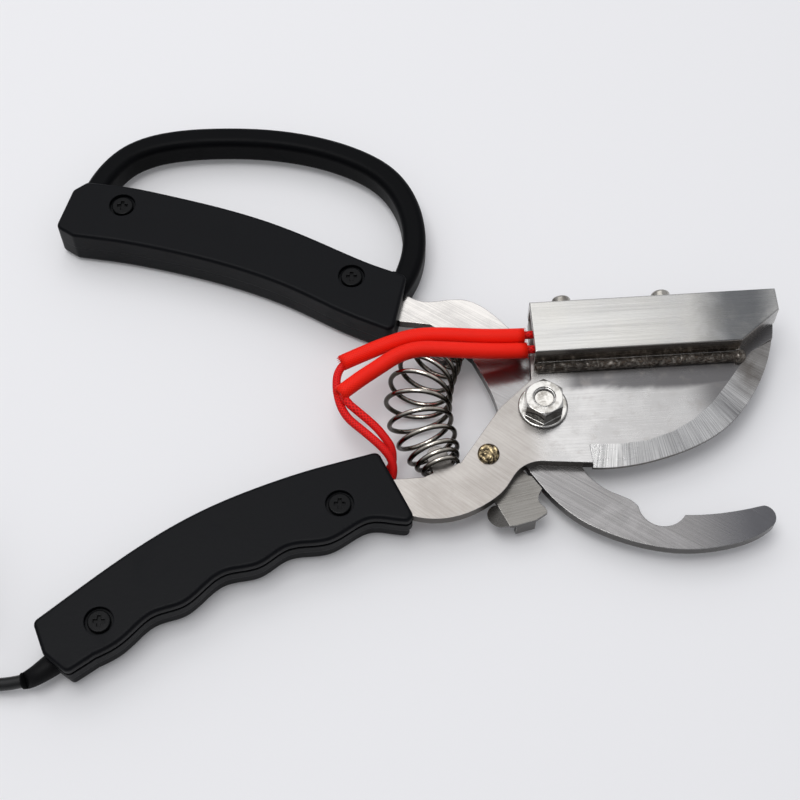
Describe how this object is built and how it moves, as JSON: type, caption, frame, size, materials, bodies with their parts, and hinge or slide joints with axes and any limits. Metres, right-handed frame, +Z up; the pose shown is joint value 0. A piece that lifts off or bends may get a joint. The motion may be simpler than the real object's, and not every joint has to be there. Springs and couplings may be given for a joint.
{
  "type": "heated docking shears",
  "caption": "Hand-held electric hot-blade docking shears: crossed steel levers with a curved heated blade, hooked counter jaw, barrel spring, latch, hand guard and mains cord.",
  "frame": {"origin": "centre of the footprint of the tool without its cord, on the surface that it lies on", "axes": "+X towards the jaws, +Y towards the hand guard, +Z up from the surface, along the pivot bolt"},
  "size_m": [0.3678, 0.229, 0.0273],
  "materials": {
    "lever_steel": "satin, ground edges",
    "bolt_steel": "zinc plated",
    "nut_chrome": "bright plated",
    "housing_steel": "brushed lengthwise, heat-tinted weld",
    "bush_ceramic": "matte",
    "heater_steel": "heat-darkened",
    "screw_steel": "plated",
    "screw_black": "black, satin",
    "latch_steel": "satin",
    "rivet_brass": "hammered, tarnished",
    "spring_steel": "dark, oiled",
    "cord_rubber": "matte black",
    "lead_braid": "fine glass-fibre braid",
    "sleeve_braid": "woven glass-fibre sleeve",
    "grip_plastic": "matte black",
    "guard_plastic": "matte black",
    "tie_plastic": "matte black",
    "plug_rubber": "matte black",
    "pin_brass": "nickel plated"
  },
  "bodies": {
    "blade_half": {"blade_lever": "lever_steel", "pivot_bolt": "bolt_steel", "pivot_washer": "bolt_steel", "pivot_nut": "nut_chrome", "heater_housing": "housing_steel", "heater_end_bush": "bush_ceramic", "heater_cartridge": "heater_steel", "clamp_block": "heater_steel", "housing_screws": "screw_steel", "latch_rivet": "rivet_brass", "return_spring": "spring_steel", "cord_inner": "cord_rubber", "cord_clamp": "latch_steel", "clamp_screws": "screw_steel", "lead_crimps": "bolt_steel", "heater_lead_1": "lead_braid", "lead_sleeve_1": "sleeve_braid", "heater_lead_2": "lead_braid", "lead_sleeve_2": "sleeve_braid", "lower_grip_front": "grip_plastic", "lower_grip_rear": "grip_plastic", "lower_grip_screws": "screw_black", "lower_grip_nuts": "screw_steel", "cord_boot": "cord_rubber", "power_cord": "cord_rubber", "cord_coil": "cord_rubber", "cord_tail": "cord_rubber", "cord_tie": "tie_plastic", "plug_body": "plug_rubber", "plug_pins": "pin_brass"},
    "guard_half": {"guard_lever": "lever_steel", "upper_grip_front": "grip_plastic", "upper_grip_rear": "grip_plastic", "upper_grip_screws": "screw_black", "upper_grip_nuts": "screw_steel", "hand_guard": "guard_plastic"},
    "latch": {"latch": "latch_steel"}
  },
  "joints": [
    {"name": "jaw_close", "type": "hinge", "parent": "blade_half", "child": "guard_half", "pos_m": [0.0483, -0.0132, 0], "axis": [0, 0, 1], "range_deg": [0, 38], "stiffness_Nm_per_rad": 1.8, "deforming": ["return_spring"]},
    {"name": "latch_swing", "type": "hinge", "parent": "blade_half", "child": "latch", "pos_m": [0.0283, -0.032, 0.01015], "axis": [0, 0, 1], "range_deg": [-40, 0]}
  ]
}
